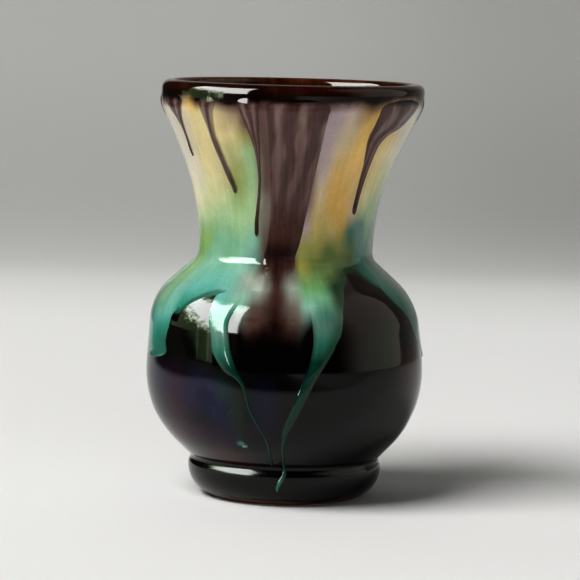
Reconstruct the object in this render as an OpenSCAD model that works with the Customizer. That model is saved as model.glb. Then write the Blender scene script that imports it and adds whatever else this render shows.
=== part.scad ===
// Drip-glazed ceramic vase: a low rounded foot, a round belly, a sharp waist and a neck that opens to a
// soft lip. One fired clay body carries the glaze coats, and runs of thicker glaze lie on the coats.
// The origin is at the middle of the foot's underside, on the surface that the vase stands on. +Z is up
// and -Y is the front. Every outline is drawn as radius and height, and turned about Z.

/* [Overall] */
// Height from the table to the top of the lip
height = 100; // [82:0.5:125]
// Outer diameter of the belly at its widest
belly_d = 66.8; // [55:0.2:84]
// Outer diameter of the lip
rim_d = 63.2; // [52:0.2:80]
// Outer diameter of the waist, the narrowest part of the neck
waist_d = 42.1; // [34:0.1:48]
// Outer diameter of the foot
foot_d = 46.6; // [40:0.2:52]

/* [Foot] */
// Height of the groove between the foot and the belly
foot_h = 9.1; // [7:0.1:11]
// How far the groove lies inside the foot's side
groove_in = 0.75; // [0.3:0.05:1.5]
// Rounding of the groove's bottom
groove_round = 0.8; // [0.3:0.1:1.5]
// Rounding of the foot's lower edge
foot_round = 7.5; // [3:0.1:9]
// Rounding of the foot's upper edge
foot_top_round = 1.5; // [0.5:0.1:2.5]
// Diameter of the recess under the foot, where it opens
recess_d = 26; // [18:0.5:30]
// Depth of the recess under the foot
recess_h = 2.2; // [1:0.1:3]
// How much narrower the recess is at its roof, on each side
recess_slope = 1; // [0.5:0.1:2]
// Rounding of the recess's edges
recess_round = 0.6; // [0.2:0.1:1]

/* [Belly and shoulder] */
// Height at which the belly's lower flank would meet its side
flank_z = 20.1; // [17:0.1:24]
// Rounding between the belly's lower flank and its side
flank_round = 25; // [15:0.5:28]
// Height at which the side starts to lean in towards the shoulder
belly_z = 33; // [30:0.5:38]
// Rounding where the side starts to lean in
belly_round = 50; // [20:1:80]
// How far the shoulder's corner lies inside the belly's widest
shoulder_in = 1.5; // [0.5:0.1:4]
// Height of the shoulder's corner
shoulder_z = 48; // [43:0.5:52]
// Rounding of the shoulder
shoulder_round = 15; // [8:0.5:18]

/* [Neck and lip] */
// Height of the waist's corner, where the shoulder meets the neck
waist_z = 57.8; // [55:0.2:62]
// Rounding of the waist's corner
waist_round = 3; // [1:0.1:5]
// Radius of the neck's long outward curve
flare_round = 58; // [30:1:70]
// Height of the upright lip, from where the neck's slope would meet it to its top
lip_h = 5.4; // [4:0.1:8]
// Rounding between the neck's slope and the lip
lip_round = 8; // [3:0.5:10]
// Thickness of the lip
lip_t = 3.6; // [2.8:0.1:5]
// Rounding of the lip's outer edge
lip_out_round = 1.9; // [0.8:0.1:2]
// Rounding of the lip's inner edge
lip_in_round = 1.4; // [0.6:0.1:1.5]

/* [Wall and glaze] */
// Thickness of the wall, its glaze on both sides included
wall = 3.2; // [2.4:0.1:4.5]
// Height of the inside floor
floor_z = 7; // [5:0.1:9]
// Rounding between the inside floor and the inside wall
floor_round = 6; // [3:0.5:9]
// Thickness of every glaze coat
coat = 0.4; // [0.2:0.05:0.8]
// Thickness of the runs that start at the lip
rim_run_t = 0.45; // [0.2:0.05:0.8]
// Thickness of the runs that start on the shoulder
shoulder_run_t = 0.5; // [0.2:0.05:0.8]
// Height up to which the foot is left bare
bare_h = 1.2; // [0.6:0.1:2]
// Width of the dark band, measured down from the top of the lip outside
band_h = 4.6; // [3:0.1:7]
// Width of the dark band, measured down from the top of the lip inside
band_in_h = 7; // [5:0.1:12]
// How far below the waist's corner the neck's coat ends
neck_coat_end = 0.8; // [0:0.1:2]
// How far below the shoulder's corner the shoulder's coat ends
shoulder_coat_end = 2; // [0:0.1:5]

/* [Hidden] */
$fn = 96;

// Sizes that the runs were set out on. Their widths and drops follow the sizes above.
runs_rim_d = 63.2;
runs_belly_d = 66.8;
runs_neck_h = 37.6;

// Each run of glaze is a list of stations from its top to its tip. Runs from the lip: azimuth from the
// front, half width, drop below the dark band.
rim_runs = [
    [[-65, 3.9, 0], [-62, 1.9, 4.4], [-60.5, 0.8, 8], [-61, 0.5, 13]],
    [[-40, 3.3, 0], [-40, 2.0, 5.4], [-38.5, 1.25, 11], [-35, 1.0, 16.4], [-32, 0.8, 21]],
    [[-19, 2.7, 0], [-17, 1.6, 7.4], [-16.2, 0.7, 12], [-16.7, 0.4, 20], [-19, 0.6, 30]],
    [[3.5, 8.4, 0], [4.3, 6.8, 7.4], [2.8, 5.8, 17.4], [0.5, 4.8, 27.4], [-4, 4.4, 38], [-4, 3.2, 42],
        [-3.5, 3.6, 52]],
    [[56, 10, 0], [54, 8.5, 4], [46.5, 4.4, 7.4], [45.3, 2.6, 10.4], [46.7, 1.7, 15], [46.3, 1.0, 20],
        [46, 0.7, 25.4]],
    [[84, 2.4, 0], [84.5, 1.4, 5], [85, 0.7, 12]],
    [[104, 4.5, 0], [106, 2.4, 7.4], [107, 1.1, 15.4], [106.5, 0.8, 24]],
    [[133, 3.4, 0], [132, 1.6, 8.4], [131.5, 0.7, 17]],
    [[161, 8.0, 0], [162, 6.4, 9.4], [164, 4.4, 19.4], [165, 2.2, 29], [165.5, 1.2, 33]],
    [[-166, 3.0, 0], [-167.5, 1.4, 7.4], [-168, 0.7, 14]],
    [[-139, 5.5, 0], [-138, 3.2, 7.4], [-136.5, 1.4, 15.4], [-137, 0.9, 28]],
    [[-110, 3.2, 0], [-109, 1.8, 7.4], [-107, 0.8, 19]],
    [[-88, 2.6, 0], [-87.5, 1.2, 5.4], [-87, 0.6, 11]],
];

// Runs from the shoulder: azimuth from the front, half width, height above the table.
shoulder_runs = [
    [[-66, 13, 51], [-72, 12, 45], [-74, 10.5, 40], [-72, 6, 36]],
    [[-28, 2.4, 46], [-27, 3.0, 40], [-24.3, 2.7, 35.5], [-20.5, 1.6, 32.5], [-16.5, 0.6, 29.5],
        [-13.2, 0.5, 23.5], [-8, 0.5, 17.5], [-7, 0.4, 11]],
    [[20, 6.4, 53], [18.4, 5.1, 48], [17.6, 4.2, 42], [13.6, 2.6, 36], [7, 1.6, 28], [3, 1.2, 22],
        [0, 0.6, 17], [-0.5, 0.45, 11.5], [-0.2, 0.55, 8.5], [-3.5, 0.6, 5.5]],
    [[70, 9.5, 51], [82, 10.5, 46], [90, 9.5, 41], [96, 6.5, 36.5]],
    [[128, 6.0, 51], [131, 4.0, 42], [134, 2.0, 32], [135, 0.9, 22], [134, 0.7, 12], [135.5, 0.8, 6]],
    [[160, 5.0, 51], [162, 3.4, 42], [163, 1.8, 32], [161, 0.8, 24]],
    [[-168, 8.0, 51], [-166, 7.0, 44], [-165, 5.0, 39]],
    [[-137, 5.5, 51], [-139, 4.0, 43], [-141, 2.2, 34], [-142, 0.9, 24], [-141, 0.7, 15]],
    [[-112, 6.0, 51], [-110, 4.5, 44], [-109, 2.0, 38]],
];

// Steps round a run's tip, and the most that the tip reaches below its last station
tip_steps = 12;
tip_reach = 2.5;
// How far a chord may lie inside the arc that it stands for
chord_gap = 0.02;
// Most of an edge that the roundings at its two ends may take up
most_fill = 0.95;
// Share of the largest curve that the neck's curve may have
most_flare = 0.97;
// Reach of the cutters beyond the vase
past = 10;

foot_r = foot_d / 2;
belly_r = belly_d / 2;
shoulder_r = belly_r - shoulder_in;
waist_r = waist_d / 2;
rim_r = rim_d / 2;
recess_r = recess_d / 2;
groove_r = foot_r - groove_in;
lip_z = height - lip_h;
band_z = height - band_h;
band_in_z = height - band_in_h;
neck_end_z = waist_z - neck_coat_end;
shoulder_end_z = shoulder_z - shoulder_coat_end;

// Vectors in the plane of the outline
function xy(p) = [p[0], p[1]];
function dir(a, b) = (xy(b) - xy(a)) / norm(xy(b) - xy(a));
function left_of(d) = [-d[1], d[0]];
function cross2(a, b) = a[0] * b[1] - a[1] * b[0];
// The point where the line through p along d meets the line through q along e
function meet(p, d, q, e) = p + d * cross2(q - p, e) / cross2(d, e);

// An outline is a closed list of corners [radius, height, rounding], with the solid on its left.
function before(c, i) = c[(i + len(c) - 1) % len(c)];
function after(c, i) = c[(i + 1) % len(c)];
function into(c, i) = dir(before(c, i), c[i]);
function out_of(c, i) = dir(c[i], after(c, i));
// How far the outline turns at a corner, above 0 where the solid bulges
function turn(c, i) = atan2(cross2(into(c, i), out_of(c, i)), into(c, i) * out_of(c, i));
function reach(c, i) = c[i][2] * tan(abs(turn(c, i)) / 2);
function edge_len(c, i) = norm(xy(after(c, i)) - xy(c[i]));
// Share of its rounding that a corner can have, so that two roundings never run into each other
function fill(c, i) = (reach(c, i) + reach(c, (i + 1) % len(c))) / edge_len(c, i);
function room(c, i) = 1 / max(1, fill(c, i) / most_fill, fill(c, (i + len(c) - 1) % len(c)) / most_fill);
function eased(c) = [for (i = [0:len(c) - 1]) [c[i][0], c[i][1], c[i][2] * room(c, i)]];
// The outline with edge i moved into the solid by d[i]
function inset(c, d) = [for (i = [0:len(c) - 1])
    let (
        j = (i + len(c) - 1) % len(c),
        p = meet(
            xy(c[i]) + left_of(into(c, i)) * d[j], into(c, i),
            xy(c[i]) + left_of(out_of(c, i)) * d[i], out_of(c, i)),
        r = c[i][2] > 0 ? max(0, c[i][2] - sign(turn(c, i)) * d[i]) : 0
    ) [p[0], p[1], r]];

// The waist's corner turns through the slope of the shoulder, and the neck's curve starts above it.
shoulder_slope = atan2(shoulder_r - waist_r, waist_z - shoulder_z);
flare_start = waist_z + waist_round * tan(shoulder_slope / 2);
flare_out = rim_r - waist_r;
flare_up = lip_z - flare_start;
// Largest curve that still reaches the lip, and the one used
flare_most = (flare_out * flare_out + flare_up * flare_up) / (2 * flare_out);
flare_r = min(flare_round, most_flare * flare_most);
flare_angle = atan2(flare_up, flare_r - flare_out)
    - acos(flare_r / norm([flare_r - flare_out, flare_up]));

outside = [
    [0, recess_h, 0],
    [recess_r - recess_slope, recess_h, recess_round],
    [recess_r, 0, recess_round],
    [foot_r, 0, foot_round],
    [foot_r, foot_h - groove_in, foot_top_round],
    [groove_r, foot_h, groove_round],
    [belly_r, flank_z, flank_round],
    [belly_r, belly_z, belly_round],
    [shoulder_r, shoulder_z, shoulder_round],
    [waist_r, waist_z, waist_round],
    [waist_r, flare_start + flare_r * tan(flare_angle / 2), flare_r],
    [rim_r, lip_z, lip_round],
    [rim_r, height, lip_out_round],
    [rim_r - lip_t, height, lip_in_round],
];
// Places of corners in that list
foot_i = 3;
groove_i = 5;
flank_i = 6;
lip_i = 11;
top_i = 12;
mouth_i = 13;

// The inside follows the outside, one wall away, from the flank to the lip.
wall_line = inset(eased(outside), [for (i = [0:len(outside) - 1]) wall]);
flare_dir = dir(outside[lip_i - 1], outside[lip_i]);
mouth_turn = meet([rim_r - lip_t, height], [0, -1], xy(wall_line[lip_i]), flare_dir);
flank_dir = dir(outside[groove_i], outside[flank_i]);
floor_turn = meet([0, floor_z], [1, 0], xy(wall_line[flank_i]), flank_dir);
inside = [
    [mouth_turn[0], mouth_turn[1], lip_round],
    for (i = [lip_i - 1:-1:flank_i]) wall_line[i],
    [floor_turn[0], floor_turn[1], floor_round],
    [0, floor_z, 0],
];

// The whole section with its glaze, the clay inside the glaze, and the surfaces of the runs
glazed = eased(concat(outside, inside));
function coated(i) = i >= foot_i && i < len(glazed) - 1;
function outer_side(i) = i >= foot_i - 1 && i < top_i;
clay = inset(glazed, [for (i = [0:len(glazed) - 1]) coated(i) ? coat : 0]);
function run_face(t) = inset(glazed, [for (i = [0:len(glazed) - 1]) outer_side(i) ? -t : 0]);

// Points of the arc at a corner, or the corner itself where it is sharp. A chord lies within
// chord_gap of its arc.
function arc(c, i) =
    c[i][2] <= chord_gap ? [xy(c[i])] :
    let (
        r = c[i][2],
        a = turn(c, i),
        start = xy(c[i]) - into(c, i) * reach(c, i),
        centre = start + left_of(into(c, i)) * r * sign(a),
        steps = ceil(abs(a) / (2 * acos(1 - chord_gap / r)))
    ) [for (k = [0:steps]) centre + turned(start - centre, a * k / steps)];
function turned(v, a) = [v[0] * cos(a) - v[1] * sin(a), v[0] * sin(a) + v[1] * cos(a)];
function path(c, from, to) = [for (i = [from:to]) each arc(c, i)];
function backwards(list) = [for (i = [len(list) - 1:-1:0]) list[i]];
// The strip between an outline and one that lies inside it, from one corner to another
function strip(outer, inner, from, to) = concat(path(outer, from, to), backwards(path(inner, from, to)));

// The band of the section's plane between two heights
module heights(from, to) {
    translate([0, from]) square([belly_r + rim_r, to - from]);
}

// One coat on the outside between two heights
module coat_between(from, to) {
    rotate_extrude()
        intersection() {
            polygon(strip(glazed, clay, foot_i, top_i));
            heights(from, to);
        }
}

// Radius of the coats' outside at a height
function radius_at(z) = lookup(z, [for (p = path(glazed, foot_i, lip_i)) [p[1], p[0]]]);

// Outline of a run, seen from its own azimuth: down its left side, round its tip and up its right side.
// A station is azimuth, half width, height.
function run_outline(stations, azimuth) =
    let (
        rows = [for (s = stations) [radius_at(s[2]) * sin(s[0] - azimuth), s[1], s[2]]],
        tip = rows[len(rows) - 1],
        depth = min(tip[1], tip_reach),
        round_tip = [for (k = [1:tip_steps - 1]) 180 + 180 * k / tip_steps]
    ) [
        for (q = rows) [q[0] - q[1], q[2]],
        for (a = round_tip) [tip[0] + tip[1] * cos(a), tip[2] + depth * sin(a)],
        for (q = backwards(rows)) [q[0] + q[1], q[2]],
    ];

// A layer of the given thickness on the coats, trimmed to the run's outline
module run_on_coats(stations, t) {
    azimuth = (stations[0][0] + stations[len(stations) - 1][0]) / 2;
    intersection() {
        rotate_extrude() polygon(strip(run_face(t), glazed, foot_i, lip_i));
        rotate([90, 0, azimuth])
            linear_extrude(belly_r + past) polygon(run_outline(stations, azimuth));
    }
}

module clay_body() {
    color([0.72, 0.47, 0.30]) rotate_extrude() polygon(path(clay, 0, len(clay) - 1));
}

module liner_glaze() {
    color([0.33, 0.17, 0.07])
        rotate_extrude()
            intersection() {
                polygon(strip(glazed, clay, mouth_i, len(glazed) - 1));
                heights(0, band_in_z);
            }
}

module rim_glaze() {
    middle_r = rim_r - lip_t / 2;
    top = height + past;
    color([0.10, 0.06, 0.04])
        rotate_extrude()
            intersection() {
                polygon(strip(glazed, clay, lip_i - 1, mouth_i + 2));
                polygon([[0, band_in_z], [middle_r, band_in_z], [middle_r, band_z],
                    [rim_r + past, band_z], [rim_r + past, top], [0, top]]);
            }
}

module neck_glaze() {
    color([0.88, 0.78, 0.48]) coat_between(neck_end_z, band_z);
}

module shoulder_glaze() {
    color([0.36, 0.75, 0.66]) coat_between(shoulder_end_z, neck_end_z);
}

module belly_glaze() {
    color([0.13, 0.10, 0.11]) coat_between(bare_h, shoulder_end_z);
}

module rim_run(stations) {
    wider = rim_d / runs_rim_d;
    longer = (band_z - waist_z) / runs_neck_h;
    color([0.33, 0.22, 0.22])
        run_on_coats([for (s = stations) [s[0], s[1] * wider, band_z - s[2] * longer]], rim_run_t);
}

module shoulder_run(stations) {
    wider = belly_d / runs_belly_d;
    color([0.15, 0.42, 0.40])
        run_on_coats([for (s = stations) [s[0], s[1] * wider, s[2]]], shoulder_run_t);
}

clay_body();
liner_glaze();
rim_glaze();
neck_glaze();
shoulder_glaze();
belly_glaze();
for (i = [1:len(rim_runs)])
    rim_run(rim_runs[i - 1]);
for (i = [1:len(shoulder_runs)])
    shoulder_run(shoulder_runs[i - 1]);
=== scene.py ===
import math

import bmesh
import bpy
import numpy as np
from mathutils import Matrix, Vector


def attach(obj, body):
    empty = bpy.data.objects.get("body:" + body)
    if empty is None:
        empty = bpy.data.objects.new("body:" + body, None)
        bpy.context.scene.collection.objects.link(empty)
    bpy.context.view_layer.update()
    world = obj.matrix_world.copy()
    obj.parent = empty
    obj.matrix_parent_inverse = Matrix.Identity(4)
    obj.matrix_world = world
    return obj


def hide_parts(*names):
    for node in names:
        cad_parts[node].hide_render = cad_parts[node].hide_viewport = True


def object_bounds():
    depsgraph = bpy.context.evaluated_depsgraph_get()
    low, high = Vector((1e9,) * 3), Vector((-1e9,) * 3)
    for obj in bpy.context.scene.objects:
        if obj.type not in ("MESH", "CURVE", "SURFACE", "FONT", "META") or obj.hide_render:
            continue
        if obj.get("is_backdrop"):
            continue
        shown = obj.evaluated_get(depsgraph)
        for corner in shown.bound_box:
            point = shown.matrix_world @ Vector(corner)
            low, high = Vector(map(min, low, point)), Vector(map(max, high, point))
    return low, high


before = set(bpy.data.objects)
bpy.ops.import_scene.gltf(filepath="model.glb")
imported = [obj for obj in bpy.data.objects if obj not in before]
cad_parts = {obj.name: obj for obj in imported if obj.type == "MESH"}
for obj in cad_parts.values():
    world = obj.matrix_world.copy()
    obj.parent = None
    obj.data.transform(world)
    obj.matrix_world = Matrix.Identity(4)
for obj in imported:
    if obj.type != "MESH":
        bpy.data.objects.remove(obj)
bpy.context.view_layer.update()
mm = 0.001

# Glaze and clay colours, as sRGB values from 0 to 255
palette = {
    "cream": (204, 194, 176), "ivory": (216, 206, 182), "paleStraw": (214, 206, 168),
    "straw": (216, 201, 152), "sun": (220, 186, 112), "ochre": (212, 178, 112),
    "amber": (200, 164, 92), "sand": (196, 178, 140), "limeStraw": (192, 196, 150),
    "lime": (140, 172, 106), "leaf": (158, 184, 140), "jade": (128, 172, 142),
    "fern": (108, 154, 106), "seafoam": (136, 178, 160), "aqua": (108, 170, 160),
    "turquoise": (60, 140, 122), "sea": (104, 138, 126), "teal": (56, 114, 98),
    "deepTeal": (16, 58, 48), "pine": (30, 58, 36), "moss": (98, 116, 68), "olive": (144, 142, 80),
    "oliveSand": (178, 162, 104), "lilac": (188, 172, 160), "lavender": (170, 154, 156),
    "mauve": (124, 100, 96), "rosewood": (100, 76, 70), "plum": (78, 54, 50),
    "darkPlum": (44, 24, 22), "mist": (146, 156, 146), "greige": (120, 113, 104),
    "stone": (92, 82, 74), "umber": (26, 12, 9), "band": (22, 10, 5), "black": (6, 3, 2),
    "blue": (16, 22, 66), "violet": (54, 18, 50), "brown": (50, 24, 12), "chestnut": (112, 58, 22),
    "rust": (66, 26, 12), "clay": (92, 56, 40),
}


def tone(name):
    return np.array([c / 12.92 if c <= 0.04045 else ((c + 0.055) / 1.055) ** 2.4
                     for c in (v / 255 for v in palette[name])])


vase = {
    "corners": [  # radius, height and rounding, in mm: recess, foot, belly, neck, lip, then the inside
        (0, 2.2, 0), (12, 2.2, 0.6), (13, 0, 0.6), (23.3, 0, 7), (23.3, 8.1, 1.9), (22.4, 9.2, 1.1),
        (33.4, 20.1, 24.03), (33.4, 33, 48.06), (31.9, 48, 15), (21.05, 57.8, 2.85),
        (21.05, 72.01, 55.1), (31.6, 94.6, 8), (31.6, 100, 1.9), (28, 100, 1.4), (28, 94.45, 8),
        (17.85, 72.72, 57.9), (17.85, 56.38, 6.01), (28.84, 46.45, 11.8), (30.2, 32.84, 44.86),
        (30.2, 21.41, 20.83), (15.98, 7, 6), (0, 7, 0)],
    "step": 0.6,  # longest step along the section
    "turns": 300,  # steps round the vase
    "coat": 0.4,  # thickness of the glaze
    # Heights where one coat ends and the next begins, from the foot up, the last one inside the lip
    "bareTo": 1.2, "bellyTo": 46, "shoulderTo": 57, "neckTo": 95.4, "bandInside": 93,
    # How far the axis leans sideways, by height
    "lean": [(0, 0.65), (10, 0.55), (20, 0.05), (34, 0.1), (48, -0.45), (60, -0.3), (80, 0),
             (92, 0.35), (100, 0.75)],
    "wobble": 0.0016,  # share of the radius by which the wall wanders
    "footEdge": 0.35,  # how far the glaze edge over the bare clay wanders
}


def roundedLine(corners, step):
    # Runs from corner to corner with an arc at each, in even steps
    line = []
    for i, (r, z, rounding) in enumerate(corners):
        here = Vector((r, z))
        arc = [here]
        if rounding:
            into = (here - Vector(corners[i - 1][:2])).normalized()
            away = (Vector(corners[i + 1][:2]) - here).normalized()
            turn = math.atan2(into.x * away.y - into.y * away.x, into.dot(away))
            start = here - into * rounding * math.tan(abs(turn) / 2)
            centre = start + Vector((-into.y, into.x)) * math.copysign(rounding, turn)
            steps = max(4, math.ceil(abs(turn) * rounding / step))
            arc = [centre + Matrix.Rotation(turn * k / steps, 2) @ (start - centre)
                   for k in range(steps + 1)]
        if line:
            gap = (arc[0] - line[-1]).length
            pieces = max(1, math.ceil(gap / step))
            line += [line[-1].lerp(arc[0], k / pieces) for k in range(1, pieces)]
        line += arc
    return line


outline = roundedLine(vase["corners"], vase["step"])


def topIndex():
    return max(range(len(outline)), key=lambda i: outline[i].y)


def cutAt(height, inside=False):
    # Puts a point at a height on the outer or the inner side, with close ones beside it
    top = topIndex()
    for i in range(top, len(outline) - 1) if inside else range(3, top):
        a, b = outline[i], outline[i + 1]
        if (a.y - height) * (b.y - height) <= 0 and abs(a.y - b.y) > 1e-6 and a.x > 14:
            t = (height - a.y) / (b.y - a.y)
            near = min(0.06 / (b - a).length, 0.4 * t, 0.4 * (1 - t))
            parts = [t - near, t, t + near] if 0.02 < t < 0.98 else [t]
            outline[i + 1:i + 1] = [a.lerp(b, p) for p in parts]
            return


for cutHeight in (vase["bareTo"], vase["bellyTo"], vase["shoulderTo"], vase["neckTo"]):
    cutAt(cutHeight)
cutAt(vase["bandInside"], inside=True)
outTop = topIndex()
heading = [(outline[min(i + 1, len(outline) - 1)] - outline[max(i - 1, 0)]).normalized()
           for i in range(len(outline))]
facing = [Vector((d.y, -d.x)) for d in heading]  # points out of the wall
underCoat = [p - n * vase["coat"] for p, n in zip(outline, facing)]
underCoat[-1] = Vector((0, outline[-1].y - vase["coat"]))


def indexAt(height, inside=False):
    # The point of the outline at a height, on the outer or the inner side
    order = range(outTop, len(outline)) if inside else range(3, outTop)
    return min(order, key=lambda i: abs(outline[i].y - height)
               + (5 if outline[i].x < 14 and not inside else 0))


outerRows = [i for i, p in enumerate(outline) if 3 <= i <= outTop and p.x > 15]
outerHeights = np.array([outline[i].y for i in outerRows])
outerRadii = np.array([outline[i].x for i in outerRows])
outerFacing = np.array([facing[i] for i in outerRows])


def radiusAt(z):
    return np.interp(z, outerHeights, outerRadii)


def wander(a, z, seed):
    # An uneven wave between about -1 and 1 over the wall, the same every time
    return (np.sin(5 * a + 0.23 * z + seed) + 0.6 * np.sin(11 * a - 0.31 * z + 2.1 * seed)
            + 0.4 * np.sin(23 * a + 0.52 * z + 3.7 * seed)
            + 0.25 * np.sin(47 * a - 0.9 * z + 5.3 * seed)) / 2.25


def smooth(x, low, high):
    t = np.clip((x - low) / (high - low), 0, 1)
    return t * t * (3 - 2 * t)


def handThrown(points):
    # The slight lean and wander of a wall thrown by hand, and the uneven glaze edge at the foot
    x, y, z = (points / mm).T
    a = np.arctan2(x, -y)
    oval, threeSided = np.sin(2 * a + z / 14), np.sin(3 * a - z / 9 + 1)
    share = 1 - vase["wobble"] * (0.5 + 0.25 * oval + 0.25 * threeSided)
    lean = np.interp(z, [h for h, _ in vase["lean"]], [v for _, v in vase["lean"]])
    foot = vase["footEdge"] * wander(a, 0, 9) * np.exp(-((z - 1.2) / 0.7) ** 2) * (np.hypot(x, y) > 20)
    return np.stack([(x * share + lean) * mm, y * share * mm, (z + foot) * mm], 1)


def turnBetween(az, centre):
    return (az - centre + 180) % 360 - 180


coats = {
    # How the light glazes lie: for each azimuth from the front, height in mm and colour
    "columns": {
        -180: [(44, "teal"), (50, "turquoise"), (58, "jade"), (66, "leaf"), (74, "straw"),
               (88, "ivory")],
        -150: [(40, "teal"), (48, "turquoise"), (57, "seafoam"), (64, "jade"), (72, "limeStraw"),
               (82, "sun"), (92, "straw")],
        -120: [(38, "teal"), (46, "turquoise"), (56, "jade"), (63, "lime"), (70, "limeStraw"),
               (78, "straw"), (90, "ivory")],
        -84: [(34, "teal"), (41, "teal"), (45, "sea"), (48, "mist"), (52, "seafoam"), (61, "jade"),
              (66, "leaf"), (71, "paleStraw"), (84, "cream")],
        -70: [(35, "teal"), (40, "turquoise"), (44, "aqua"), (48, "jade"), (56, "leaf"),
              (61, "lime"), (66, "leaf"), (71, "paleStraw"), (80, "ivory"), (91, "cream")],
        -60: [(34, "teal"), (39, "teal"), (42, "turquoise"), (45, "aqua"), (53, "seafoam"),
              (58, "jade"), (62, "lime"), (66, "leaf"), (72, "limeStraw"), (79, "ivory"),
              (90, "cream")],
        -50: [(43, "teal"), (48, "turquoise"), (52, "aqua"), (57, "seafoam"), (62, "jade"),
              (68, "leaf"), (73, "limeStraw"), (80, "straw"), (92, "straw"), (96, "sun")],
        -40: [(46, "turquoise"), (53, "aqua"), (58, "jade"), (63, "jade"), (69, "leaf"),
              (76, "limeStraw"), (84, "straw")],
        -30: [(44, "teal"), (50, "aqua"), (57, "seafoam"), (62, "jade"), (69, "leaf"), (76, "lime"),
              (82, "limeStraw"), (88, "straw"), (95, "sand")],
        -21: [(40, "stone"), (45, "sea"), (49, "seafoam"), (54, "mist"), (58, "sea"),
              (63, "seafoam"), (69, "leaf"), (77, "leaf"), (84, "leaf"), (88, "olive"),
              (92, "rosewood")],
        -13: [(36, "umber"), (39, "darkPlum"), (44, "rosewood"), (48, "stone"), (52, "mist"),
              (57, "plum"), (62, "rosewood"), (67, "greige"), (72, "greige"), (76, "rosewood"),
              (90, "rosewood")],
        -4: [(38, "umber"), (44, "darkPlum"), (52, "plum"), (58, "darkPlum"), (66, "plum"),
             (84, "rosewood"), (94, "mauve")],
        4: [(36, "umber"), (39, "darkPlum"), (43, "rosewood"), (49, "greige"), (53, "mist"),
            (57, "plum"), (62, "rosewood"), (78, "plum"), (90, "mauve")],
        11: [(35, "deepTeal"), (39, "teal"), (44, "sea"), (49, "seafoam"), (53, "fern"),
             (57, "olive"), (61, "olive"), (66, "lavender"), (72, "mauve"), (80, "plum"),
             (94, "mauve")],
        19: [(43, "deepTeal"), (47, "teal"), (51, "jade"), (53, "fern"), (57, "moss"),
             (61, "olive"), (66, "oliveSand"), (74, "sand"), (82, "lilac"), (90, "lavender")],
        28: [(46, "pine"), (53, "pine"), (56, "moss"), (61, "moss"), (66, "oliveSand"),
             (71, "amber"), (80, "ochre"), (86, "sand"), (95, "lilac")],
        36: [(50, "pine"), (55, "pine"), (58, "moss"), (63, "olive"), (69, "amber"), (78, "ochre"),
             (86, "sun"), (95, "amber")],
        45: [(50, "pine"), (56, "pine"), (60, "moss"), (66, "teal"), (71, "sand"), (80, "ochre"),
             (90, "ochre")],
        54: [(46, "pine"), (52, "teal"), (57, "teal"), (62, "sea"), (67, "sea"), (71, "limeStraw"),
             (75, "straw"), (84, "straw"), (90, "ochre")],
        65: [(40, "stone"), (48, "teal"), (54, "sea"), (62, "sea"), (68, "leaf"), (76, "limeStraw"),
             (84, "paleStraw"), (91, "cream")],
        78: [(36, "teal"), (46, "sea"), (56, "mist"), (66, "sea"), (72, "mist"), (80, "limeStraw"),
             (90, "cream")],
        115: [(40, "teal"), (48, "turquoise"), (58, "jade"), (66, "leaf"), (74, "straw"),
              (84, "sun"), (92, "straw")],
        145: [(42, "teal"), (50, "aqua"), (58, "seafoam"), (68, "limeStraw"), (80, "ochre"),
              (92, "straw")],
    },
    # Where the light glazes end on the shoulder: azimuth, height, softness
    "shoulderEdge": [(-180, 48, 1.2), (-150, 50, 0.8), (-120, 47.5, 1.2), (-92, 46, 1),
                     (-60, 46.5, 0.5), (-51, 45.6, 0.3), (-46, 48, 0.3), (-40, 49.5, 0.3),
                     (-34, 50.4, 0.3), (-29, 50, 0.4), (-22, 48, 2.5), (-15, 42.5, 5.5),
                     (-8, 44, 4), (2, 43, 5), (6, 43, 5), (10, 46, 3), (20, 49, 1), (30, 51.6, 0.4),
                     (35, 53.8, 0.4), (39, 55.8, 0.5), (46, 55.5, 0.8), (54, 53, 1), (70, 50, 1),
                     (110, 47, 1.2), (150, 49.5, 0.8), (180, 48, 1.2)],
    # Lower edge of the dark band at the lip: azimuth, height
    "bandEdge": [(-180, 95.4), (-160, 96.4), (-140, 95), (-120, 96.6), (-100, 96), (-79, 94.9),
                 (-57, 96.1), (-50, 96.6), (-46, 94.9), (-34, 95.5), (-28.5, 94.6), (-13, 95.6),
                 (-1, 95.4), (11.5, 95.2), (22.5, 95.8), (30.5, 96.2), (36, 95.2), (49, 96.6),
                 (65.5, 97), (90, 95.6), (120, 96.8), (150, 95.4), (180, 95.4)],
    "darkCoat": [(0, "black"), (40, "black"), (46, "umber")],  # height and colour of the dark glaze
    "edgeWander": 0.25,  # how far both edges wander up and down
    # Soft patches: azimuth, height, half width and half height in mm, colour, strength, softness
    "patches": [(-51, 95, 3, 2, "sun", 0.35, 0.5), (18, 86, 1.5, 8, "lavender", 0.7, 0.6),
                (-31, 78, 2.4, 6, "olive", 0.65, 0.8), (-39, 79, 2, 5, "sand", 0.5, 0.8),
                (35, 94, 2.5, 3, "rosewood", 0.4, 0.8), (-29, 93, 3, 3, "rosewood", 0.3, 0.8),
                # The violet and blue patches low on the belly are painted sheen: the glaze's iridescence,
                # put into its colour.
                (-50, 25, 5, 7, "violet", 0.6, 0.8), (-36, 28, 5, 4, "blue", 0.55, 0.8),
                (-28, 22, 4, 6, "blue", 0.5, 0.8), (-24, 29, 3, 3, "deepTeal", 0.35, 0.8),
                (-20, 22, 2, 4, "pine", 0.4, 0.8), (-40, 17, 7, 3, "violet", 0.5, 0.8),
                (-30, 12, 5, 2, "rust", 0.6, 0.8), (-64, 30, 5, 3, "blue", 0.5, 0.8),
                (-58, 16, 4, 4, "rust", 0.4, 0.8), (-8, 24, 3, 6, "blue", 0.35, 0.8),
                (48, 40, 5, 5, "pine", 0.3, 0.8), (62, 34, 5, 4, "rust", 0.5, 0.8),
                (-20, 16.1, 0.9, 0.6, "teal", 0.9, 0.4), (-18.5, 15.4, 0.5, 0.4, "jade", 0.7, 0.4)],
}
columnAzimuths = sorted(coats["columns"])


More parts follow.
